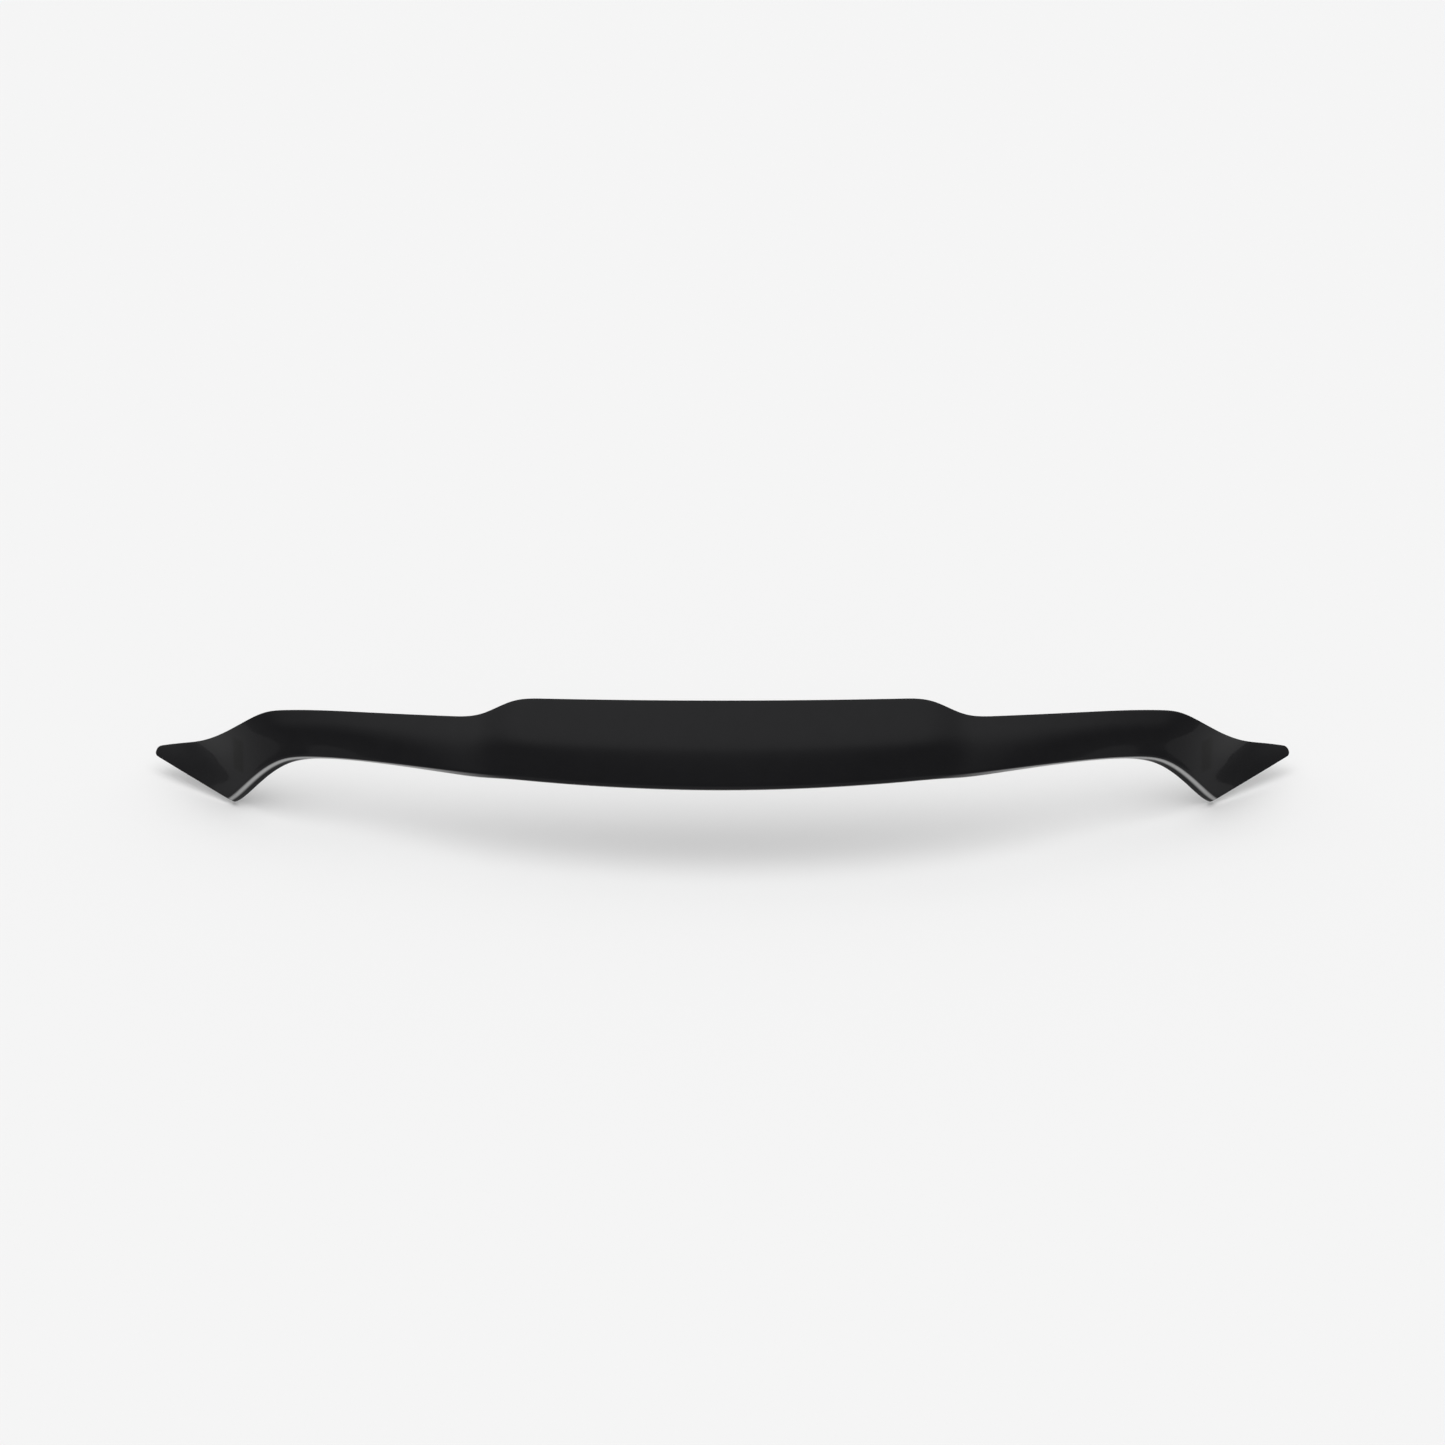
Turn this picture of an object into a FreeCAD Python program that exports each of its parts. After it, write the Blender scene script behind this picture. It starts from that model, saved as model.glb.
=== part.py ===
import FreeCAD, Part
import math
import os

# A bug deflector for the front edge of a pickup truck's hood, in millimetres.
# X runs across the vehicle, Y points rearward and Z points up, so the face looks towards -Y.
# The origin is the middle of the upper centre tape's bonding face, where the part registers on the hood.

# Moulded acrylic shell
overall_width = 1490.0
acrylic_thickness = 3.0

# Top edge, measured from its middle point
top_bow = 165.0
top_crown = 40.0
centre_half_width = 244.0
step_run = 71.0
step_drop = 27.5
arch_from_tip = 193.0
arch_run = 148.0
arch_drop = 66.0
tip_fall = 29.5
wrap_from_tip = 144.0
wrap_run = 114.0
wrap_back = 47.0

# Lower edge, measured from the top edge's middle point
nose_reach = 75.0
section_height = 87.5
lower_bow = 299.0
lower_sag = 39.0
tuck_from_tip = 298.0
tuck_run = 180.0
tuck_forward = 37.0
corner_from_tip = 162.0
corner_run = 193.0
corner_drop = 56.0

# Wings: the slanted outer edge leans out from the bottom corner to the tip
wing_overhang = 131.5
wing_power = 4.0
tip_radius = 8.0
tip_overrun = 17.0
corner_radius = 4.0
trim_allowance = 45.0

# Crease that runs along the face and fades out into the wings
crease_share_centre = 0.54
crease_share_flank = 0.44
crease_height_centre = 15.0
crease_height_flank = 7.5
crease_height_wing = 2.5
crease_fade_run = 90.0
crease_reach = 9.0
upper_land = 14.0

# Rolled lip along the lower edge, square to the face at the middle and opened out in the wings
roll_reach = 5.0
lip_depth = 11.0
lip_turn_centre = 90.0
lip_turn_wing = 62.0
flare_from_tip = 225.0
flare_run = 110.0

# Foam tape on the back
tape_thickness = 1.1
tape_seat_gap = 0.5
tape_width = 12.0
upper_tape_inset = 5.0
lower_tape_inset = 15.0
tape_gap_at_bends = 16.0
wing_pad_from_tip = 126.0
wing_pad_inset = 18.0
wing_pad_length = 36.0
slant_tape_inset = 9.0
slant_tape_ends = 34.0

half_width = overall_width / 2
apex_half_span = half_width + tip_overrun
flank_start = centre_half_width + step_run
step_margin = step_run / 3
arch_start = half_width - arch_from_tip
wrap_start = half_width - wrap_from_tip
tuck_start = half_width - tuck_from_tip
corner_start = half_width - corner_from_tip
flare_start = half_width - flare_from_tip

Vector = FreeCAD.Vector
degree = 3
settling_count = 12
straight_count = 2
bent_count = 5
long_count = 7


def unit(vector):
    return Vector(vector) / vector.Length


def ease(value, start, run):
    """Rises smoothly from 0 to 1 over a run that begins at the start."""
    share = min(max((value - start) / run, 0.0), 1.0)
    return share * share * (3 - 2 * share)


def top_edge(station):
    """Point on the top edge, with the station at 0 in the middle and 1 at the wing's sharp apex."""
    across = apex_half_span * abs(station)
    share = across / apex_half_span
    back = top_bow * share ** 2 + wrap_back * ease(across, wrap_start, wrap_run)
    outer_share = max(across - arch_start, 0.0) / (apex_half_span - arch_start)
    down = top_crown * share ** 2 + step_drop * ease(across, centre_half_width, step_run)
    down += arch_drop * ease(across, arch_start, arch_run) + tip_fall * outer_share ** 2
    return Vector(math.copysign(across, station), back, -down)


def lower_edge(station):
    """Point on the lower edge, with the station at 1 at the wing's bottom corner."""
    share = abs(station)
    across = apex_half_span * share - wing_overhang * share ** wing_power
    back = lower_bow * (across / apex_half_span) ** 2 - nose_reach
    back -= tuck_forward * ease(across, tuck_start, tuck_run)
    down = section_height + lower_sag * share ** 3
    down += corner_drop * ease(apex_half_span * share, corner_start, corner_run)
    return Vector(math.copysign(across, station), back, -down)


def section(station):
    """Control points of one section, from the top edge over the crease to the end of the lip."""
    top, low = top_edge(station), lower_edge(station)
    small = 0.004
    run = unit(lower_edge(station + small) - lower_edge(station - small))
    chord = low - top
    outward = unit(chord.cross(run))
    across = apex_half_span * abs(station)
    on_flank = ease(across, centre_half_width, step_run)
    in_wing = ease(across, arch_start, crease_fade_run)
    height = crease_height_centre + (crease_height_flank - crease_height_centre) * on_flank
    height += (crease_height_wing - height) * in_wing
    share = crease_share_centre + (crease_share_flank - crease_share_centre) * on_flank
    crease = top + chord * share + outward * height
    upper_way, lower_way = unit(crease - top), unit(low - crease)
    inward = unit(run.cross(lower_way))
    turn = lip_turn_centre + (lip_turn_wing - lip_turn_centre) * ease(across, flare_start, flare_run)
    lip_way = inward * math.sin(math.radians(turn)) + lower_way * math.cos(math.radians(turn))
    points = [top, top + upper_way * upper_land]
    points += [crease - upper_way * crease_reach, crease + lower_way * crease_reach]
    return points + [low - lower_way * roll_reach, low, low + lip_way * lip_depth]


def stretches():
    """Start, end and span count of the centre, step, flank and wing, measured across from the middle."""
    return [
        (0.0, centre_half_width - step_margin, 2),
        (centre_half_width - step_margin, flank_start + step_margin, 6),
        (flank_start + step_margin, arch_start, 2),
        (arch_start, apex_half_span + trim_allowance, 10),
    ]


def mirrored(values):
    return [-value for value in reversed(values)] + values


def station_breaks():
    half = []
    for start, end, spans in stretches():
        half += [(start + (end - start) * step / spans) / apex_half_span for step in range(1, spans + 1)]
    return [-value for value in reversed(half)] + [0.0] + half


def stretch_ends():
    return mirrored([end / apex_half_span for _, end, _ in stretches()])


def averaged(breaks):
    """Parameter that belongs to each control point of a cubic with the given span ends."""
    knots = [breaks[0]] * degree + breaks + [breaks[-1]] * degree
    return [sum(knots[place + 1:place + 1 + degree]) / degree for place in range(len(breaks) + degree - 1)]


def ends_clamped(count):
    return [degree + 1] + [1] * (count - 2) + [degree + 1]


def smooth_surface(net, breaks_along, breaks_down):
    surface = Part.BSplineSurface()
    surface.buildFromPolesMultsKnots(
        net, ends_clamped(len(breaks_along)), ends_clamped(len(breaks_down)),
        breaks_along, breaks_down, False, False, degree, degree)
    return surface


def neighbours(row, place):
    return row[max(place - 1, 0)], row[min(place + 1, len(row) - 1)]


def offset_net(net, distance):
    """Moves a net of control points off its surface, mitred so that the wall keeps its thickness."""
    moved = []
    for place, row in enumerate(net):
        before, after = neighbours(net, place)
        new_row = []
        for spot, point in enumerate(row):
            along = after[spot] - before[spot]
            above, below = neighbours(row, spot)
            way_in = unit(point - above) if spot else unit(below - point)
            way_out = unit(below - point) if spot < len(row) - 1 else way_in
            down = way_in + way_out
            new_row.append(point + unit(along.cross(down)) * (2 * distance / down.Length))
        moved.append(new_row)
    return moved


def boundary(surface, name):
    first_u, last_u, first_v, last_v = surface.bounds()
    if name == "top":
        return surface.vIso(first_v).toShape()
    if name == "bottom":
        return surface.vIso(last_v).toShape()
    return surface.uIso(first_u if name == "left" else last_u).toShape()


def solid_of(faces):
    shell = Part.makeShell(faces)
    shell.sewShape()
    solid = Part.makeSolid(Part.Shell(shell.Faces))
    if solid.Volume < 0:
        solid.reverse()
    return solid


def patch_of(surface, first_u, last_u, first_v, last_v):
    patch = surface.copy()
    patch.segment(first_u, last_u, first_v, last_v)
    return patch


def wall_between(outer, inner, columns):
    """Closed solid between two like surfaces, with its faces split at the given columns."""
    first_v, last_v = outer.bounds()[2:]
    faces = []
    for first_u, last_u in zip(columns, columns[1:]):
        front = patch_of(outer, first_u, last_u, first_v, last_v)
        back = patch_of(inner, first_u, last_u, first_v, last_v)
        faces += [front.toShape(), back.toShape()]
        names = ["top", "bottom"]
        names += ["left"] if first_u == columns[0] else []
        names += ["right"] if last_u == columns[-1] else []
        faces += [Part.makeRuledSurface(boundary(front, name), boundary(back, name)) for name in names]
    return solid_of(faces)


def wing_cutter(side):
    """Tool that trims a wing along its slanted edge, with a rounded tip and a rounded end to the lip."""
    small = 0.03
    apex = top_edge(side)
    top_way = unit(apex - top_edge(side * (1 - small)))
    slant = unit(lower_edge(side) - apex)
    normal = unit(top_way.cross(slant))

    def flattened(vector):
        return vector - normal * vector.dot(normal)

    lip_end = apex + flattened(section(side)[-1] - apex)
    lip_way = unit(flattened(section(side)[-1] - section(side * (1 - small))[-1]))
    beside_lip = unit(normal.cross(lip_way))
    corner = apex + slant * ((lip_end - apex).dot(beside_lip) / slant.dot(beside_lip))

    def rounded(point, one_way, other_way, radius):
        half = one_way.getAngle(other_way) / 2
        middle = unit(one_way + other_way)
        tangent = radius / math.tan(half)
        nearest = radius / math.sin(half) - radius
        return point + one_way * tangent, point + middle * nearest, point + other_way * tangent

    def away(vector, way):
        return vector if vector.dot(way) > 0 else -vector

    tip_arc = rounded(apex, -top_way, slant, tip_radius)
    corner_arc = rounded(corner, -slant, -lip_way, corner_radius)
    clear = 2 * trim_allowance
    upper_out = tip_arc[0] + away(unit(normal.cross(top_way)), -slant) * clear
    lower_out = corner_arc[2] + away(beside_lip, slant) * clear
    outermost = away(unit(normal.cross(slant)), top_way) * 3 * clear
    outline = Part.Wire([
        Part.Arc(*tip_arc).toShape(),
        Part.makeLine(tip_arc[2], corner_arc[0]),
        Part.Arc(*corner_arc).toShape(),
        Part.makeLine(corner_arc[2], lower_out),
        Part.makeLine(lower_out, lower_out + outermost),
        Part.makeLine(lower_out + outermost, upper_out + outermost),
        Part.makeLine(upper_out + outermost, upper_out),
        Part.makeLine(upper_out, tip_arc[0]),
    ])
    face = Part.Face(outline)
    face.translate(normal * -clear)
    return face.extrude(normal * 2 * clear)


def acrylic_shell(outer, inner):
    shell = wall_between(outer, inner, stretch_ends())
    for side in (-1, 1):
        trimmed = shell.cut(wing_cutter(side))
        shell = max(trimmed.Solids, key=lambda solid: solid.Volume)
    return shell


def down_at(surface, station, distance):
    """Parameter down the section at which a length measured from the top edge is reached."""
    first_v, last_v = surface.bounds()[2:]
    steps = 400
    travelled, before = 0.0, surface.value(station, first_v)
    for step in range(1, steps + 1):
        down = first_v + (last_v - first_v) * step / steps
        point = surface.value(station, down)
        travelled += (point - before).Length
        if travelled >= distance:
            return down
        before = point
    return last_v


def length_down(surface, station):
    """Whole length of a section, from the top edge to the end of the lip."""
    first_v, last_v = surface.bounds()[2:]
    return surface.uIso(station).length(first_v, last_v)


def through(inner, spots, distance):
    """Smooth surface at a distance behind the inner face, through a net of its parameters."""
    net = []
    for row in spots:
        net.append([inner.value(*spot) + inner.normal(*spot) * distance for spot in row])
    surface = Part.BSplineSurface()
    surface.interpolate(net)
    return surface


def tape_over(inner, spots):
    """Foam tape over a net of places on the inner face, with its bonding face."""
    near = through(inner, spots, tape_seat_gap)
    bond = through(inner, spots, tape_seat_gap + tape_thickness)
    return wall_between(near, bond, near.bounds()[:2]), bond


def shares(count):
    return [place / (count - 1) for place in range(count)]


def tape_strip(inner, from_across, to_across, reach_down, columns, rows):
    """Strip of tape between two places across, with its reach down given for each station."""
    spots = []
    for share in shares(columns):
        station = (from_across + (to_across - from_across) * share) / apex_half_span
        upper, lower = reach_down(station)
        lengths = [upper + (lower - upper) * part for part in shares(rows)]
        spots.append([(station, down_at(inner, station, length)) for length in lengths])
    return tape_over(inner, spots)


def wing_pad(inner, side):
    """Upright pad of tape on the inner face of a wing."""
    middle = side * (half_width - wing_pad_from_tip)
    highest = top_edge(middle / apex_half_span).z - wing_pad_inset
    spots = []
    for share in shares(straight_count):
        across = middle + (share - 0.5) * tape_width
        heights = [highest - part * wing_pad_length for part in shares(bent_count)]
        spots.append([seen_through(inner, across, height) for height in heights])
    return tape_over(inner, spots)[0]


def seen_through(inner, across, height):
    """Parameters of the inner face's point that lies behind a place in the front view."""
    station, down = across / apex_half_span, sum(inner.bounds()[2:]) / 2
    for _ in range(settling_count):
        point = inner.value(station, down)
        along, below = inner.getDN(station, down, 1, 0), inner.getDN(station, down, 0, 1)
        miss_across, miss_height = across - point.x, height - point.z
        scale = along.x * below.z - below.x * along.z
        station += (miss_across * below.z - below.x * miss_height) / scale
        down += (along.x * miss_height - miss_across * along.z) / scale
    return station, down


breaks_along = station_breaks()
outer_net = [section(station) for station in averaged(breaks_along)]
breaks_down = [float(value) for value in range(len(outer_net[0]) - degree + 1)]
outer_face = smooth_surface(outer_net, breaks_along, breaks_down)
inner_face = smooth_surface(offset_net(outer_net, acrylic_thickness), breaks_along, breaks_down)

centre_tape_end = centre_half_width - step_margin - tape_gap_at_bends
flank_tape_start = flank_start + step_margin + tape_gap_at_bends
flank_tape_end = arch_start - tape_gap_at_bends
slant_tape_end = apex_half_span - slant_tape_inset


def along_top(station):
    return upper_tape_inset, upper_tape_inset + tape_width


def along_bottom(station):
    lowest = length_down(inner_face, station) - lip_depth - lower_tape_inset
    return lowest - tape_width, lowest


def along_slant(station):
    return slant_tape_ends, length_down(inner_face, station) - lip_depth - slant_tape_ends


def tape_strips():
    """Every strip and pad of tape, with the bonding face of the upper centre strip."""
    centre = -centre_tape_end, centre_tape_end
    upper_centre, bond = tape_strip(inner_face, *centre, along_top, long_count, straight_count)
    lower_centre, _ = tape_strip(inner_face, *centre, along_bottom, long_count, straight_count)
    strips = {"upper_tape_centre": upper_centre, "lower_tape_centre": lower_centre}
    for side, name in ((-1, "left"), (1, "right")):
        flank = sorted((side * flank_tape_start, side * flank_tape_end))
        slant = sorted((side * (slant_tape_end - tape_width), side * slant_tape_end))
        upper, _ = tape_strip(inner_face, *flank, along_top, bent_count, straight_count)
        lower, _ = tape_strip(inner_face, *flank, along_bottom, bent_count, straight_count)
        outer, _ = tape_strip(inner_face, *slant, along_slant, straight_count, bent_count)
        strips["upper_tape_" + name] = upper
        strips["lower_tape_" + name] = lower
        strips["wing_pad_" + name] = wing_pad(inner_face, side)
        strips["slant_tape_" + name] = outer
    return strips, bond


parts, bond_face = tape_strips()
parts["deflector_shell"] = acrylic_shell(outer_face, inner_face)
bond_u, bond_v = bond_face.bounds()[:2], bond_face.bounds()[2:]
origin = bond_face.value(sum(bond_u) / 2, sum(bond_v) / 2)

os.makedirs("parts", exist_ok=True)
for name, solid in parts.items():
    solid.translate(-origin)
    print(name, solid.isValid(), round(solid.Volume), solid.BoundBox)
    solid.exportStep("parts/" + name + ".step")
print("origin from the top edge's middle", origin)
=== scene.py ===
import math

import bmesh
import bpy
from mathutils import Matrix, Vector


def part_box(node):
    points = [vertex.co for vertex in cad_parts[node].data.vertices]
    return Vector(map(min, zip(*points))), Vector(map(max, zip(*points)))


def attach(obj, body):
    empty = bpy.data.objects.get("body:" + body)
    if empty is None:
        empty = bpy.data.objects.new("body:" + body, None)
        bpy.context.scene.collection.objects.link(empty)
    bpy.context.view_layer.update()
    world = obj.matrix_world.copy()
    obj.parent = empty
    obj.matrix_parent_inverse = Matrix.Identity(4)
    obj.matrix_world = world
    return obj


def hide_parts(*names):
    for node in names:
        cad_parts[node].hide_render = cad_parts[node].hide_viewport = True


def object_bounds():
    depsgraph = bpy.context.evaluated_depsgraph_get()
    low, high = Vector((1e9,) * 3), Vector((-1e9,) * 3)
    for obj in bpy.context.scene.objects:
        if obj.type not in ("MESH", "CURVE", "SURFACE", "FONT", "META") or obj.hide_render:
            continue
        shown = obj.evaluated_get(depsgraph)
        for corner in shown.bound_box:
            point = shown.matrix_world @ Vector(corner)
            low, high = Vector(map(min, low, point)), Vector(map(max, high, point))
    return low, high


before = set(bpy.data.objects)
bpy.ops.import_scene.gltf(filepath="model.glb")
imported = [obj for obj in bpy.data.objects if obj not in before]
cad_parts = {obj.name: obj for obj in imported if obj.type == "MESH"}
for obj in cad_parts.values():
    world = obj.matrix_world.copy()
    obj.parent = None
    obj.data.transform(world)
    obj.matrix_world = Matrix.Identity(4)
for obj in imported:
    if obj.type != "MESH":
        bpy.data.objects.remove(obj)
cad_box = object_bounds()

MM_PER_METRE = 1000.0

# Sizes of the moulding in millimetres, the same as in its construction. They are measured from
# the middle of the top edge: x across, y back and z up.
WALL = 3.0
HALF_WIDTH = 745.0
APEX = HALF_WIDTH + 17.0
BEYOND_TIP = 45.0
TIP_RADIUS, LIP_CORNER_RADIUS = 8.0, 4.0

# That middle in the part's own frame, which starts at the bond
TOP_MIDDLE = Vector((0, 5.283, 10.673))

# Where each bend starts on the way out to the wings, and how far it runs
STEP, STEP_RUN = 244.0, 71.0
ARCH, ARCH_RUN = HALF_WIDTH - 193.0, 148.0
WRAP, WRAP_RUN = HALF_WIDTH - 144.0, 114.0
TUCK, TUCK_RUN = HALF_WIDTH - 298.0, 180.0
CORNER, CORNER_RUN = HALF_WIDTH - 162.0, 193.0
FLARE, FLARE_RUN = HALF_WIDTH - 225.0, 110.0
CREASE_FADE_RUN = 90.0

# The top edge bows back and falls on its way to the tips
TOP_BOW, WRAP_BACK = 165.0, 47.0
TOP_CROWN, STEP_DROP, ARCH_DROP, TIP_FALL = 40.0, 27.5, 66.0, 29.5

# The lower edge runs in front of it and below it
LOWER_BOW, NOSE_REACH, TUCK_FORWARD = 299.0, 75.0, 37.0
SECTION_HEIGHT, LOWER_SAG, SAG_POWER, CORNER_DROP = 87.5, 39.0, 3, 56.0
WING_OVERHANG, WING_POWER = 131.5, 4

# One section: height of the crease, its share of the way down, and the lengths along the face
CREASE_HEIGHT_CENTRE, CREASE_HEIGHT_FLANK, CREASE_HEIGHT_WING = 15.0, 7.5, 2.5
CREASE_SHARE_CENTRE, CREASE_SHARE_FLANK = 0.54, 0.44
UPPER_LAND, CREASE_REACH, ROLL_REACH, LIP_DEPTH = 14.0, 9.0, 5.0, 11.0
LIP_TURN_CENTRE, LIP_TURN_WING = 90.0, 62.0

# The face is one clamped cubic surface, with more spans where it bends more
DEGREE = 3
PLAIN_SPANS, STEP_SPANS, WING_SPANS, SPANS_DOWN = 2, 6, 10, 4

# Stations run from -1 at the left apex to 1 at the right one
NEARBY, BEFORE_APEX, BEFORE_TRIM, INSIDE_WING = 0.004, 0.97, 0.02, 0.9
HALVINGS = 24

# The fine mesh, and how near to a corner its places are drawn in
COLUMNS, ROWS = 400, 52
TIP_REACH, LIP_CORNER_REACH = 45.0, 14.0
RIM_RADIUS, RIM_SEGMENTS, RIM_ANGLE = 0.5, 3, 50.0

# The light line on the lip, by spans down and millimetres across, and the pads' dim patches
LINE_START, LINE_END, LINE_FADE = 3.3, 3.6, 0.16
LINE_ACROSS, LINE_ACROSS_FADE = 250.0, 160.0
PATCH_MARGIN, PATCH_FADE = 3.0, 4.0

# Colour sockets of a mix node, whose names its other kinds of value share
MIX_A, MIX_B, MIX_RESULT = 6, 7, 2

CAMERA_DISTANCE, CAMERA_ELEVATION, CAMERA_LENS = 3.5, 24.0, 71.1
FLOOR_SIDE, FLOOR_GAP = 40.0, 0.5


def from_hex(code):
    """Linear colour of an sRGB hex value."""
    def linear(value):
        return value / 12.92 if value <= 0.04045 else ((value + 0.055) / 1.055) ** 2.4
    return [linear(int(code[place:place + 2], 16) / 255) for place in (1, 3, 5)] + [1.0]


def add_node(tree, kind, settings=None, links=None):
    """Adds a node, sets its properties or sockets, and links sockets to what is given for them."""
    node = tree.nodes.new(kind)
    for name, value in (settings or {}).items():
        if isinstance(name, int) or name in node.inputs:
            node.inputs[name].default_value = value
        else:
            setattr(node, name, value)
    for name, source in (links or {}).items():
        tree.links.new(source, node.inputs[name])
    return node


def new_material(name):
    material = bpy.data.materials.new(name)
    material.use_nodes = True
    material.node_tree.nodes.clear()
    return material, material.node_tree


def pattern_scale(length_mm):
    """Scale of a noise or cell pattern whose features are about the given length."""
    return MM_PER_METRE / length_mm


def smoked_acrylic(name, outer_face):
    """Thermoformed acrylic, dyed nearly black right through.

    It is glossy, and the faint waves left by forming bend what it mirrors a little. Handling
    leaves the gloss uneven, so highlights are soft and not perfectly even. Its reflection is set
    weaker than that of bare acrylic, so that the image of the pale floor stays dim.
    """
    material, tree = new_material(name)
    place = add_node(tree, "ShaderNodeTexCoord").outputs["Object"]
    forming = add_node(tree, "ShaderNodeTexNoise",
                       {"Scale": pattern_scale(70), "Detail": 2.0}, {"Vector": place})
    handling = add_node(tree, "ShaderNodeTexNoise",
                        {"Scale": pattern_scale(22), "Detail": 4.0}, {"Vector": place})
    waves = add_node(tree, "ShaderNodeBump", {"Strength": 0.12, "Distance": 0.0006},
                     {"Height": forming.outputs["Fac"]})
    gloss = add_node(tree, "ShaderNodeMapRange",
                     {"From Min": 0.3, "From Max": 0.7, "To Min": 0.06, "To Max": 0.12},
                     {"Value": handling.outputs["Fac"]})
    dye = add_node(tree, "ShaderNodeMix",
                   {"data_type": "RGBA", MIX_A: from_hex("#0f0f11"), MIX_B: from_hex("#141416")},
                   {"Factor": handling.outputs["Fac"]})
    shader = add_node(tree, "ShaderNodeBsdfPrincipled", {"IOR": 1.49, "Specular IOR Level": 0.15},
                      {"Base Color": dye.outputs[MIX_RESULT],
                       "Roughness": gloss.outputs["Result"], "Normal": waves.outputs["Normal"]})
    if outer_face:
        show_lip_and_pads(tree, shader, dye.outputs[MIX_RESULT])
    add_node(tree, "ShaderNodeOutputMaterial", links={"Surface": shader.outputs["BSDF"]})
    return material


def show_lip_and_pads(tree, shader, dye):
    """Lets the lip mirror its pale surroundings as a light line, and darkens what lies over a pad."""
    lip = add_node(tree, "ShaderNodeAttribute", {"attribute_name": "glossy_lip"})
    tree.links.new(lip.outputs["Fac"], shader.inputs["Coat Weight"])
    shader.inputs["Coat IOR"].default_value = 4.0
    pad = add_node(tree, "ShaderNodeAttribute", {"attribute_name": "over_pad"})
    shade = add_node(tree, "ShaderNodeMix", {"data_type": "RGBA", MIX_B: from_hex("#030303")},
                     {"Factor": pad.outputs["Fac"], MIX_A: dye})
    tree.links.new(shade.outputs[MIX_RESULT], shader.inputs["Base Color"])


def foam_tape():
    """Closed-cell foam tape with acrylic adhesive, matt and faintly pitted by its cells, with painted
    shade in the pits.
    """
    material, tree = new_material("closed-cell foam tape")
    place = add_node(tree, "ShaderNodeTexCoord").outputs["Object"]
    cells = add_node(tree, "ShaderNodeTexVoronoi", {"Scale": pattern_scale(0.9)}, {"Vector": place})
    pits = add_node(tree, "ShaderNodeBump", {"Strength": 0.5, "Distance": 0.0002},
                    {"Height": cells.outputs["Distance"]})
    # Painted shade: the colour is darker towards the middle of each cell, where the bump sinks its
    # pit.
    pit_shade_tone = add_node(tree, "ShaderNodeMix",
                    {"data_type": "RGBA", MIX_A: from_hex("#2b2b2b"), MIX_B: from_hex("#3a3a3a")},
                    {"Factor": cells.outputs["Distance"]})
    shader = add_node(tree, "ShaderNodeBsdfPrincipled", {"Roughness": 0.85, "IOR": 1.48},
                      {"Base Color": pit_shade_tone.outputs[MIX_RESULT], "Normal": pits.outputs["Normal"]})
    add_node(tree, "ShaderNodeOutputMaterial", links={"Surface": shader.outputs["BSDF"]})
    return material


def pale_floor():
    """Plain floor with matt white paint, faintly stippled by the roller."""
    material, tree = new_material("pale painted floor")
    place = add_node(tree, "ShaderNodeTexCoord").outputs["Object"]
    stipple = add_node(tree, "ShaderNodeTexNoise",
                       {"Scale": pattern_scale(4), "Detail": 2.0}, {"Vector": place})
    bump = add_node(tree, "ShaderNodeBump", {"Strength": 0.05, "Distance": 0.0003},
                    {"Height": stipple.outputs["Fac"]})
    paint = add_node(tree, "ShaderNodeBsdfDiffuse", {"Color": from_hex("#e8e8e8")},
                     {"Normal": bump.outputs["Normal"]})
    add_node(tree, "ShaderNodeOutputMaterial", links={"Surface": paint.outputs["BSDF"]})
    return material


def ease(value, start, run):
    """Smooth change from 0 at the start to 1 at the end of the run."""
    share = min(max((value - start) / run, 0.0), 1.0)
    return share * share * (3 - 2 * share)


def top_edge(station):
    across = APEX * abs(station)
    beyond_arch = max(across - ARCH, 0) / (APEX - ARCH)
    back = TOP_BOW * station ** 2 + WRAP_BACK * ease(across, WRAP, WRAP_RUN)
    down = TOP_CROWN * station ** 2 + STEP_DROP * ease(across, STEP, STEP_RUN)
    down += ARCH_DROP * ease(across, ARCH, ARCH_RUN)
    down += TIP_FALL * beyond_arch ** 2
    return Vector((math.copysign(across, station), back, -down))


def lower_edge(station):
    """Place on the lower edge, which ends further in than the top edge does."""
    share = abs(station)
    across = APEX * share - WING_OVERHANG * share ** WING_POWER
    back = LOWER_BOW * (across / APEX) ** 2 - NOSE_REACH
    back -= TUCK_FORWARD * ease(across, TUCK, TUCK_RUN)
    down = SECTION_HEIGHT + LOWER_SAG * share ** SAG_POWER
    down += CORNER_DROP * ease(APEX * share, CORNER, CORNER_RUN)
    return Vector((math.copysign(across, station), back, -down))


def section(station):
    """Control points of one section, from the top edge over the crease to the end of the lip."""
    top, low = top_edge(station), lower_edge(station)
    chord = low - top
    run = (lower_edge(station + NEARBY) - lower_edge(station - NEARBY)).normalized()
    across = APEX * abs(station)
    on_flank = ease(across, STEP, STEP_RUN)
    height = CREASE_HEIGHT_CENTRE + (CREASE_HEIGHT_FLANK - CREASE_HEIGHT_CENTRE) * on_flank
    height += (CREASE_HEIGHT_WING - height) * ease(across, ARCH, CREASE_FADE_RUN)
    share = CREASE_SHARE_CENTRE + (CREASE_SHARE_FLANK - CREASE_SHARE_CENTRE) * on_flank
    crease = top + chord * share + chord.cross(run).normalized() * height
    upper, lower = (crease - top).normalized(), (low - crease).normalized()
    flare = ease(across, FLARE, FLARE_RUN)
    turn = math.radians(LIP_TURN_CENTRE + (LIP_TURN_WING - LIP_TURN_CENTRE) * flare)
    lip = run.cross(lower).normalized() * math.sin(turn) + lower * math.cos(turn)
    return [top, top + upper * UPPER_LAND,
            crease - upper * CREASE_REACH, crease + lower * CREASE_REACH,
            low - lower * ROLL_REACH, low, low + lip * LIP_DEPTH]


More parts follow.
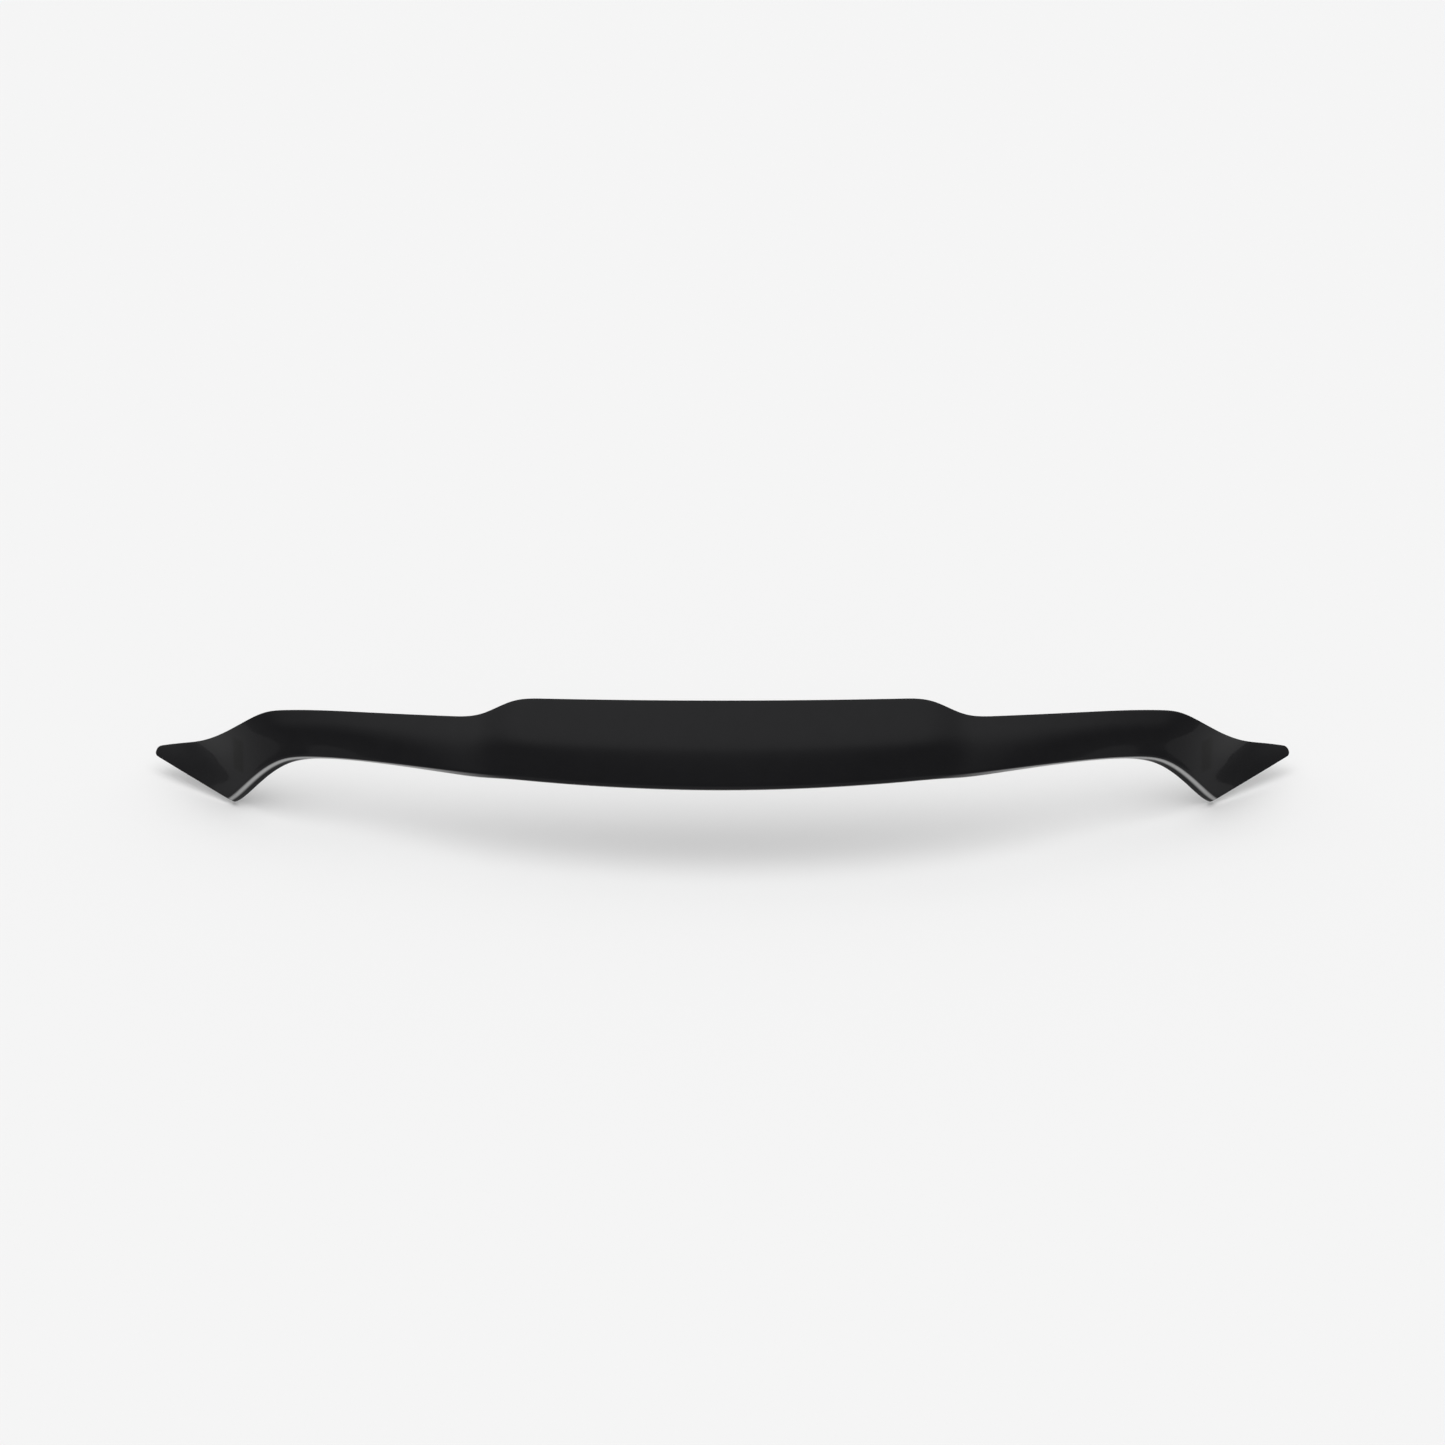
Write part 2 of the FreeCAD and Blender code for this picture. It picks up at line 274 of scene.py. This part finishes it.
def span_ends_across():
    """Stations where spans end, closer together over the steps and the wings."""
    margin = STEP_RUN / 3
    before_step, after_step = STEP - margin, STEP + STEP_RUN + margin
    stretches = ((0, before_step, PLAIN_SPANS), (before_step, after_step, STEP_SPANS),
                 (after_step, ARCH, PLAIN_SPANS), (ARCH, APEX + BEYOND_TIP, WING_SPANS))
    half = [(start + (end - start) * step / spans) / APEX
            for start, end, spans in stretches for step in range(1, spans + 1)]
    return [-station for station in reversed(half)] + [0.0] + half


def clamped(ends):
    """Knots of a clamped curve with the given span ends."""
    return [ends[0]] * DEGREE + ends + [ends[-1]] * DEGREE


def curve_weights(knots, at):
    """First control point that counts at a place on a curve, and the weights from it onwards."""
    span = DEGREE
    while span < len(knots) - DEGREE - 2 and at >= knots[span + 1]:
        span += 1
    weights = [1.0]
    for order in range(1, DEGREE + 1):
        raised = [0.0] * (order + 1)
        for place, weight in enumerate(weights):
            left, right = knots[span - order + 1 + place], knots[span + 1 + place]
            share = (at - left) / (right - left)
            raised[place] += weight * (1 - share)
            raised[place + 1] += weight * share
        weights = raised
    return span - DEGREE, weights


KNOTS_ACROSS = clamped(span_ends_across())
KNOTS_DOWN = clamped([float(end) for end in range(SPANS_DOWN + 1)])
NET = [section(sum(KNOTS_ACROSS[place + 1:place + 1 + DEGREE]) / DEGREE)
       for place in range(len(KNOTS_ACROSS) - DEGREE - 1)]


def face_point(station, down):
    """Place on the outer face. Down counts the spans from the top edge to the end of the lip."""
    first, across = curve_weights(KNOTS_ACROSS, station)
    row, along = curve_weights(KNOTS_DOWN, down)
    point = Vector()
    for column, weight in enumerate(across):
        for place, share in enumerate(along):
            point += NET[first + column][row + place] * (weight * share)
    return point


def right_wing():
    """Apex, and the ways along the top edge, down the slanted edge and out past the slanted edge."""
    apex = top_edge(1)
    top_way = (apex - top_edge(BEFORE_APEX)).normalized()
    slant = (lower_edge(1) - apex).normalized()
    normal = top_way.cross(slant).normalized()
    beside = normal.cross(slant).normalized()
    return apex, top_way, slant, beside if beside.dot(top_way) > 0 else -beside


def trimmed_station(down):
    """Station at which one row of the right wing meets the slanted edge."""
    apex, _, _, beside = right_wing()
    inside, outside = INSIDE_WING, KNOTS_ACROSS[-1]
    for _ in range(HALVINGS):
        middle = (inside + outside) / 2
        if (face_point(middle, down) - apex).dot(beside) < 0:
            inside = middle
        else:
            outside = middle
    return inside


def round_corner(points, corner, one_way, other_way, radius):
    """Draws the places near a sharp corner in towards the middle of its arc, so that it is round."""
    one_way, other_way = one_way.normalized(), other_way.normalized()
    normal = one_way.cross(other_way).normalized()
    half_angle = one_way.angle(other_way) / 2
    inward = (one_way + other_way).normalized()
    centre = corner + inward * (radius / math.sin(half_angle))
    half_arc = math.pi / 2 - half_angle
    for point in points:
        off = point.co - centre
        flat = off - normal * off.dot(normal)
        if flat.length < 1e-6:
            continue
        angle = flat.angle(-inward)
        if angle < half_arc:
            edge_distance = radius / math.cos(half_arc - angle)
            point.co -= flat * (1 - radius / edge_distance)


def lay_face(body):
    """Lays a grid from -1 to 1 on the outer face, and marks its light line and the pads' patches."""
    glossy_lip = body.verts.layers.float.new("glossy_lip")
    over_pad = body.verts.layers.float.new("over_pad")
    pad_low, pad_high = (Vector(corner) * MM_PER_METRE - TOP_MIDDLE
                         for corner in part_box("wing_pad_right"))
    row_downs = [row / ROWS * SPANS_DOWN for row in range(ROWS + 1)]
    row_ends = [trimmed_station(down) for down in row_downs]
    for point in body.verts:
        row = round((1 - point.co.y) / 2 * ROWS)
        down = row_downs[row]
        point.co = face_point(point.co.x * row_ends[row], down)
        across = abs(point.co.x)
        on_line = ease(down, LINE_START, LINE_FADE) * (1 - ease(down, LINE_END, LINE_FADE))
        point[glossy_lip] = on_line * ease(across, LINE_ACROSS, LINE_ACROSS_FADE)
        beside_pad = max(pad_low.x - across, across - pad_high.x,
                         pad_low.z - point.co.z, point.co.z - pad_high.z)
        point[over_pad] = ease(-beside_pad, -PATCH_MARGIN, PATCH_FADE)


def round_wings(body):
    """Rounds the tip of each wing and the corner where its lip ends."""
    apex, top_way, slant, _ = right_wing()
    last_station = trimmed_station(SPANS_DOWN)
    lip_corner = face_point(last_station, SPANS_DOWN)
    lip_way = lip_corner - face_point(last_station - BEFORE_TRIM, SPANS_DOWN)
    corners = ((apex, -top_way, slant, TIP_RADIUS, TIP_REACH),
               (lip_corner, -lip_way, -slant, LIP_CORNER_RADIUS, LIP_CORNER_REACH))
    for side in (-1, 1):
        mirror = Vector((side, 1, 1))
        for corner, one_way, other_way, radius, reach in corners:
            here = corner * mirror
            near = [point for point in body.verts if (point.co - here).length < reach]
            round_corner(near, here, one_way * mirror, other_way * mirror, radius)


def make_shell():
    """The moulded acrylic as one fine sheet, rolled under at its lower edge."""
    body = bmesh.new()
    bmesh.ops.create_grid(body, x_segments=COLUMNS, y_segments=ROWS, size=1)
    lay_face(body)
    round_wings(body)
    bmesh.ops.translate(body, verts=body.verts, vec=TOP_MIDDLE)
    bmesh.ops.scale(body, verts=body.verts, vec=[1 / MM_PER_METRE] * 3)
    bmesh.ops.recalc_face_normals(body, faces=body.faces)
    body.faces.ensure_lookup_table()
    looks_back = body.faces[len(body.faces) // 2].normal.y > 0
    if looks_back:
        bmesh.ops.reverse_faces(body, faces=body.faces)
    mesh = bpy.data.meshes.new("smoked_shell")
    body.to_mesh(mesh)
    body.free()
    mesh.shade_smooth()
    shell = bpy.data.objects.new("smoked_shell", mesh)
    bpy.context.collection.objects.link(shell)
    wall = shell.modifiers.new("wall", "SOLIDIFY")
    wall.thickness, wall.offset, wall.use_even_offset = WALL / MM_PER_METRE, -1, True
    wall.material_offset, wall.material_offset_rim = 1, 1
    rim = shell.modifiers.new("polished rim", "BEVEL")
    rim.limit_method, rim.angle_limit = "ANGLE", math.radians(RIM_ANGLE)
    rim.width, rim.segments, rim.profile = RIM_RADIUS / MM_PER_METRE, RIM_SEGMENTS, 0.5
    rim.use_clamp_overlap = False
    return shell


def look_at(thing, target):
    thing.rotation_euler = (Vector(target) - thing.location).to_track_quat("-Z", "Y").to_euler()


def set_camera():
    """Looks at the face from the front and from above."""
    camera = bpy.data.objects.new("product_camera", bpy.data.cameras.new("product_camera"))
    bpy.context.collection.objects.link(camera)
    elevation = math.radians(CAMERA_ELEVATION)
    camera.location = (0, 0.0055 - CAMERA_DISTANCE * math.cos(elevation),
                       0.0102 + CAMERA_DISTANCE * math.sin(elevation))
    look_at(camera, (0, 0.056, -0.042))
    camera.data.sensor_width = 36
    camera.data.lens = CAMERA_LENS
    bpy.context.scene.camera = camera


def set_world():
    """Soft light from overhead and a dim room at eye height, a little brighter on the left."""
    world = bpy.data.worlds.new("studio")
    bpy.context.scene.world = world
    world.use_nodes = True
    tree = world.node_tree
    tree.nodes.clear()
    way = add_node(tree, "ShaderNodeTexCoord").outputs["Generated"]
    parts = add_node(tree, "ShaderNodeSeparateXYZ", links={"Vector": way})
    room = add_node(tree, "ShaderNodeValToRGB", links={"Fac": parts.outputs["Z"]})
    room.color_ramp.interpolation = "B_SPLINE"
    steps = room.color_ramp.elements
    level_at_height = ((0.0, 0.28), (0.12, 0.24), (0.27, 0.22), (0.43, 0.25),
                       (0.62, 0.48), (0.78, 0.7), (0.92, 0.76), (1.0, 0.76))
    for height, level in level_at_height:
        step = steps[0] if height == 0.0 else steps[-1] if height == 1.0 else steps.new(height)
        step.color = (level, level, level, 1)
    side = add_node(tree, "ShaderNodeMapRange",
                    {"From Min": -1.0, "From Max": 1.0, "To Min": 2.12, "To Max": 1.76},
                    {"Value": parts.outputs["X"]})
    background = add_node(tree, "ShaderNodeBackground", links={"Color": room.outputs["Color"],
                                                               "Strength": side.outputs["Result"]})
    add_node(tree, "ShaderNodeOutputWorld", links={"Surface": background.outputs["Background"]})


def set_key():
    """Weak wide key from the left and above, which gives the shadow its side."""
    key = bpy.data.objects.new("overhead_key", bpy.data.lights.new("overhead_key", "SUN"))
    key.data.energy = 0.3
    key.data.angle = math.radians(55)
    key.location = (-1.3, 0.9, 3.0)
    key.visible_glossy = False
    look_at(key, (0, 0, 0))
    bpy.context.collection.objects.link(key)


def set_floor():
    """Flat floor just below the lowest place of the part."""
    bpy.ops.mesh.primitive_grid_add(x_subdivisions=8, y_subdivisions=8, size=FLOOR_SIDE)
    floor = bpy.context.object
    floor.name = "floor"
    for corner in floor.data.vertices:
        corner.co.z = cad_box[0][2] - FLOOR_GAP / MM_PER_METRE
    floor.data.materials.append(pale_floor())


face = smoked_acrylic("formed acrylic face", outer_face=True)
acrylic = smoked_acrylic("smoked acrylic", outer_face=False)
tape = foam_tape()
shell = make_shell()
shell.data.materials.append(face)
shell.data.materials.append(acrylic)
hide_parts("deflector_shell")
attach(shell, "root")
for name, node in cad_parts.items():
    for slot in node.material_slots:
        slot.material = acrylic if name == "deflector_shell" else tape

bpy.context.scene.view_settings.view_transform = "Standard"
set_camera()
set_world()
set_key()
set_floor()
